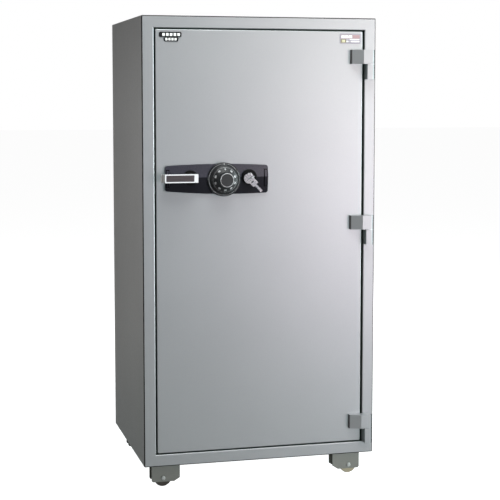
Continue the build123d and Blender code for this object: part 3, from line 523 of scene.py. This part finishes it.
def on_dial(clock, radius, lift):
    """A frame lying on the cone: local x along the rim, y outwards, z off the surface."""
    out = Vector((math.sin(clock), 0, math.cos(clock)))
    along = Vector((math.cos(clock), 0, -math.sin(clock)))
    front = Vector((0, -1, 0))
    up = out * math.cos(NUMBER_SLOPE) - front * math.sin(NUMBER_SLOPE)
    normal = along.cross(up)
    centre = Vector((DIAL_CENTRE.x, cone_depth(radius), DIAL_CENTRE.z)) + out * radius
    turn = Matrix((along, up, normal)).transposed().to_4x4()
    return Matrix.Translation(centre + normal * lift) @ turn


def number_mesh(words, height):
    """Flat lettering with a little depth, centred on its origin."""
    curve = bpy.data.curves.new("number", "FONT")
    curve.body = words
    curve.size = height
    curve.extrude = 0.12 * MM
    curve.resolution_u = 4
    curve.offset = 0.12 * MM
    curve.align_x = "CENTER"
    curve.align_y = "CENTER"
    holder = bpy.data.objects.new("number", curve)
    mesh = bpy.data.meshes.new_from_object(holder)
    bpy.data.objects.remove(holder)
    bpy.data.curves.remove(curve)
    return mesh


def dial_numbers(materials):
    """0 to 90 in tens round the sloping disc."""
    mesh = bmesh.new()
    for step in range(10):
        letters = number_mesh(str(step * 10), NUMBER_HEIGHT)
        letters.transform(on_dial(2 * math.pi * step / 10, NUMBER_RADIUS, 0.12 * MM))
        mesh.from_mesh(letters)
        bpy.data.meshes.remove(letters)
    finish_piece("dial_numbers", mesh, materials["number_grey"], "dial_set")


def dial_ticks(materials):
    """A hundred divisions near the cone's outer edge, every tenth one long and every fifth one middling."""
    mesh = bmesh.new()
    for step in range(100):
        reach, half = 0.9 * MM, 0.2 * MM
        if step % 5 == 0:
            reach, half = 1.2 * MM, 0.28 * MM
        if step % 10 == 0:
            reach, half = 1.6 * MM, 0.4 * MM
        place = on_dial(2 * math.pi * step / 100, TICK_RADIUS, 0.0)
        add_block(mesh, (-half, -reach, -0.05 * MM), (half, reach, 0.12 * MM), place)
    finish_piece("dial_ticks", mesh, materials["line_grey"], "dial_set")


def knob_trim(materials):
    """Light ring round the knob's face."""
    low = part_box("dial_knob")[0]
    mesh = bmesh.new()
    centre = (DIAL_CENTRE.x, low.y + KNOB_RING_WIRE, DIAL_CENTRE.z)
    add_ring(mesh, centre, KNOB_RING_RADIUS, KNOB_RING_WIRE, UPRIGHT)
    finish_piece("knob_ring", mesh, materials["ring_grey"], "dial_set")


def bezel_highlight_line(materials):
    """Thin pale line round the bezel's front, a painted highlight along its edge."""
    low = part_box("dial_ring")[0]
    mesh = bmesh.new()
    centre = (DIAL_CENTRE.x, low.y + BEZEL_LINE_DEPTH, DIAL_CENTRE.z)
    add_ring(mesh, centre, BEZEL_LINE_RADIUS, BEZEL_LINE_WIRE, UPRIGHT)
    finish_piece("bezel_highlight_line", mesh, materials["line_grey"], "door")


def dial_index(materials):
    """White index mark at the top of the bezel."""
    low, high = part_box("dial_ring")
    half, length, proud, sunk = 0.8 * MM, 3.0 * MM, 0.15 * MM, 0.4 * MM
    top = high.z - 2.2 * MM
    mesh = bmesh.new()
    add_block(mesh, (DIAL_CENTRE.x - half, low.y - proud, top - length),
              (DIAL_CENTRE.x + half, low.y + sunk, top), bevel=0.1 * MM)
    finish_piece("dial_index", mesh, materials["white_ink"], "door")


# ---- key relief ----
BOW_RADIUS = 14.0 * MM
BOW_RING_RADII = (12.4 * MM, 4.2 * MM)
BOW_RING_WIRE = 0.35 * MM
BOW_BARS = 9
BOW_BAR_START = 0.35  # radians, the first bar's angle
BOW_BAR_LOW = (-1.1 * MM, -0.3 * MM, 5.6 * MM)  # across, along y, and outwards from the bow's centre
BOW_BAR_HIGH = (1.1 * MM, 0.2 * MM, 10.8 * MM)


def key_emboss(materials):
    """Two raised rings with radial bars between them, on the hanging key's bow."""
    low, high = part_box("spare_key")
    centre = Vector((low.x + BOW_RADIUS, low.y, high.z - BOW_RADIUS))
    mesh = bmesh.new()
    for radius in BOW_RING_RADII:
        add_ring(mesh, centre, radius, BOW_RING_WIRE, UPRIGHT)
    for step in range(BOW_BARS):
        angle = 2 * math.pi * step / BOW_BARS + BOW_BAR_START
        turn = Matrix.Translation(centre) @ Matrix.Rotation(angle, 4, "Y")
        add_block(mesh, BOW_BAR_LOW, BOW_BAR_HIGH, turn, 0.15 * MM)
    finish_piece("key_emboss", mesh, materials["key_shadow"], "spare_key")


# ---- badge, label ----
def add_flat(mesh, low, x, z, lift=0.3 * MM, bevel=0.0):
    """A thin raised bar on a plate's front, its x and z limits in millimetres from the plate's low corner."""
    add_block(mesh, (low.x + x[0] * MM, low.y - lift, low.z + z[0] * MM),
              (low.x + x[1] * MM, low.y + 0.5 * MM, low.z + z[1] * MM), bevel=bevel)


def badge_marks(materials):
    """Two rows of blank bars: no letters."""
    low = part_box("badge")[0]
    mesh = bmesh.new()
    filled = 0.66  # a bar's share of the pitch; the rest is gap
    # bars in the row, its left end, the pitch, and the lower and upper level, in millimetres
    rows = ((5, 9.0, 10.6, (15.0, 22.6)), (4, 17.5, 8.6, (2.6, 9.4)))
    for bars, start, pitch, levels in rows:
        for column in range(bars):
            left = start + pitch * column
            add_flat(mesh, low, (left, left + pitch * filled), levels, bevel=0.25 * MM)
    finish_piece("badge_bars", mesh, materials["white_ink"], "door")


def label_bands(materials):
    """Generic rating label without words: outline, thin lines, white bars, pink band, cream patch on tan."""
    low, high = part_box("rating_label")
    width, height = (high.x - low.x) / MM, (high.z - low.z) / MM
    outer, inner = 0.6, 1.5  # the outline's two edges, in millimetres from the label's own
    pieces = {
        "label_outline": ("label_lavender", [((outer, width - outer), (height - inner, height - outer)),
                                             ((outer, width - outer), (outer, inner)),
                                             ((outer, inner), (inner, height - inner)),
                                             ((width - inner, width - outer), (inner, height - inner)),
                                             ((22, width - 2), (8.6, 9.8)), ((22, width - 2), (2.6, 3.6))]),
        "label_white_bars": ("white_ink", [((5, 14), (16, 23)), ((16, 24), (16, 23)), ((26, 36), (16, 23)),
                                           ((20, 25), (4.6, 7.8)), ((34, 58), (4.4, 7.8)),
                                           ((30, 58), (10.6, 12.6))]),
        "label_pink_band": ("label_pink", [((2.5, 38), (14.5, 15.7)), ((38, width - 2.5), (14.5, 24.5)),
                                           ((2.5, 38), (23.3, 24.5))]),
        "label_tan_patch": ("label_tan", [((2.5, 19), (2.5, 12.5))]),
    }
    for name, (material, bars) in pieces.items():
        mesh = bmesh.new()
        for x, z in bars:
            add_flat(mesh, low, x, z, lift=0.1 * MM)
        finish_piece(name, mesh, materials[material], "door")
    mesh = bmesh.new()
    add_flat(mesh, low, (6, 15.5), (3.6, 10.8), lift=0.16 * MM, bevel=0.04 * MM)
    finish_piece("label_cream_patch", mesh, materials["label_cream"], "door")


# ---- camera, lights, floor ----
def make_camera():
    data = bpy.data.cameras.new("camera")
    data.sensor_width = 36.0
    data.lens = CAMERA_LENS
    data.shift_y = CAMERA_SHIFT_Y
    camera = bpy.data.objects.new("camera", data)
    bpy.context.scene.collection.objects.link(camera)
    camera.location = CAMERA_PLACE
    camera.rotation_euler = (math.radians(90 - CAMERA_PITCH), 0, math.radians(-CAMERA_YAW))
    bpy.context.scene.camera = camera


def area_light(name, place, target, size, power, colour, shadow=True):
    data = bpy.data.lights.new(name, "AREA")
    data.shape = "RECTANGLE"
    data.size, data.size_y = size
    data.energy = power
    data.color = colour
    data.use_shadow = shadow
    light = bpy.data.objects.new(name, data)
    bpy.context.scene.collection.objects.link(light)
    light.location = place
    light.rotation_euler = (Vector(target) - Vector(place)).to_track_quat("-Z", "Y").to_euler()


def make_world():
    """White to look at, with a faint even light for everything else."""
    world = bpy.data.worlds.new("world")
    bpy.context.scene.world = world
    world.use_nodes = True
    tree = world.node_tree
    tree.nodes.clear()
    output = tree.nodes.new("ShaderNodeOutputWorld")
    rays = tree.nodes.new("ShaderNodeLightPath")
    mix = tree.nodes.new("ShaderNodeMixShader")
    seen = tree.nodes.new("ShaderNodeBackground")
    ambient = tree.nodes.new("ShaderNodeBackground")
    seen.inputs["Color"].default_value = (1, 1, 1, 1)
    seen.inputs["Strength"].default_value = 1.0
    ambient.inputs["Color"].default_value = (1.0, 1.0, 0.99, 1)
    ambient.inputs["Strength"].default_value = AMBIENT
    tree.links.new(rays.outputs["Is Camera Ray"], mix.inputs["Fac"])
    tree.links.new(ambient.outputs["Background"], mix.inputs[1])
    tree.links.new(seen.outputs["Background"], mix.inputs[2])
    tree.links.new(mix.outputs["Shader"], output.inputs["Surface"])


def floor_material():
    """Pale floor: a faint shadow on white to look at, and a mid tone to the light it throws back up."""
    material = bpy.data.materials.new("floor")
    material.use_nodes = True
    tree = material.node_tree
    tree.nodes.clear()
    output = tree.nodes.new("ShaderNodeOutputMaterial")
    rays = tree.nodes.new("ShaderNodeLightPath")
    mix = tree.nodes.new("ShaderNodeMixShader")
    seen = tree.nodes.new("ShaderNodeAddShader")
    glow = tree.nodes.new("ShaderNodeEmission")
    pale = tree.nodes.new("ShaderNodeBsdfDiffuse")
    bounce = tree.nodes.new("ShaderNodeBsdfDiffuse")
    glow.inputs["Strength"].default_value = FLOOR_GLOW
    pale.inputs["Color"].default_value = (*FLOOR_SEEN, 1)
    bounce.inputs["Color"].default_value = (*FLOOR_BOUNCE, 1)
    tree.links.new(glow.outputs["Emission"], seen.inputs[0])
    tree.links.new(pale.outputs["BSDF"], seen.inputs[1])
    tree.links.new(rays.outputs["Is Camera Ray"], mix.inputs["Fac"])
    tree.links.new(bounce.outputs["BSDF"], mix.inputs[1])
    tree.links.new(seen.outputs["Shader"], mix.inputs[2])
    tree.links.new(mix.outputs["Shader"], output.inputs["Surface"])
    return material


def make_floor():
    mesh = bpy.data.meshes.new("floor")
    floor = bpy.data.objects.new("floor", mesh)
    shape = bmesh.new()
    bmesh.ops.create_grid(shape, x_segments=1, y_segments=1, size=40.0)
    shape.to_mesh(mesh)
    shape.free()
    mesh.materials.append(floor_material())
    bpy.context.scene.collection.objects.link(floor)


def make_lights():
    """Soft keys at the right, an overhead box, a panel far right, a card in front and two panels behind."""
    area_light("key", (1.25, -2.4, 1.45), (0.25, -0.25, 0.95), (1.0, 1.6), 16.5, (1.0, 0.87, 0.83))
    area_light("key_low", (1.3, -2.4, 0.5), (0.25, -0.25, 0.5), (1.0, 1.0), 10.8, (1.0, 0.80, 0.90))
    area_light("overhead", (0.0, -1.3, 3.0), (0.0, -0.25, 0.6), (1.5, 1.5), 82, (0.96, 1.0, 0.99))
    area_light("right_panel", (2.6, -1.6, 1.0), (0.2, -0.26, 0.7), (1.0, 1.8), 128, (0.83, 1.0, 1.0),
               shadow=False)
    area_light("white_card", (0.55, -4.2, 0.7), (-0.1, -0.3, 0.8), (1.3, 0.9), 3.6, (0.8, 0.9, 1.0))
    area_light("back_left", (-3.0, 2.5, 0.5), (-0.34, 0.0, 0.2), (1.5, 2.0), 49, (1.0, 0.97, 0.93))
    area_light("back_right", (3.0, 2.6, 1.1), (0.3, 0.2, 0.6), (1.5, 2.0), 55, (1.0, 1.0, 1.0))


# ---- everything ----
make_camera()
make_world()
make_lights()
MATERIALS = make_materials()
make_floor()
paint_nodes(MATERIALS)
dial_numbers(MATERIALS)
dial_ticks(MATERIALS)
dial_index(MATERIALS)
knob_trim(MATERIALS)
bezel_highlight_line(MATERIALS)
key_emboss(MATERIALS)
badge_marks(MATERIALS)
label_bands(MATERIALS)
bpy.context.scene.view_settings.view_transform = "Standard"
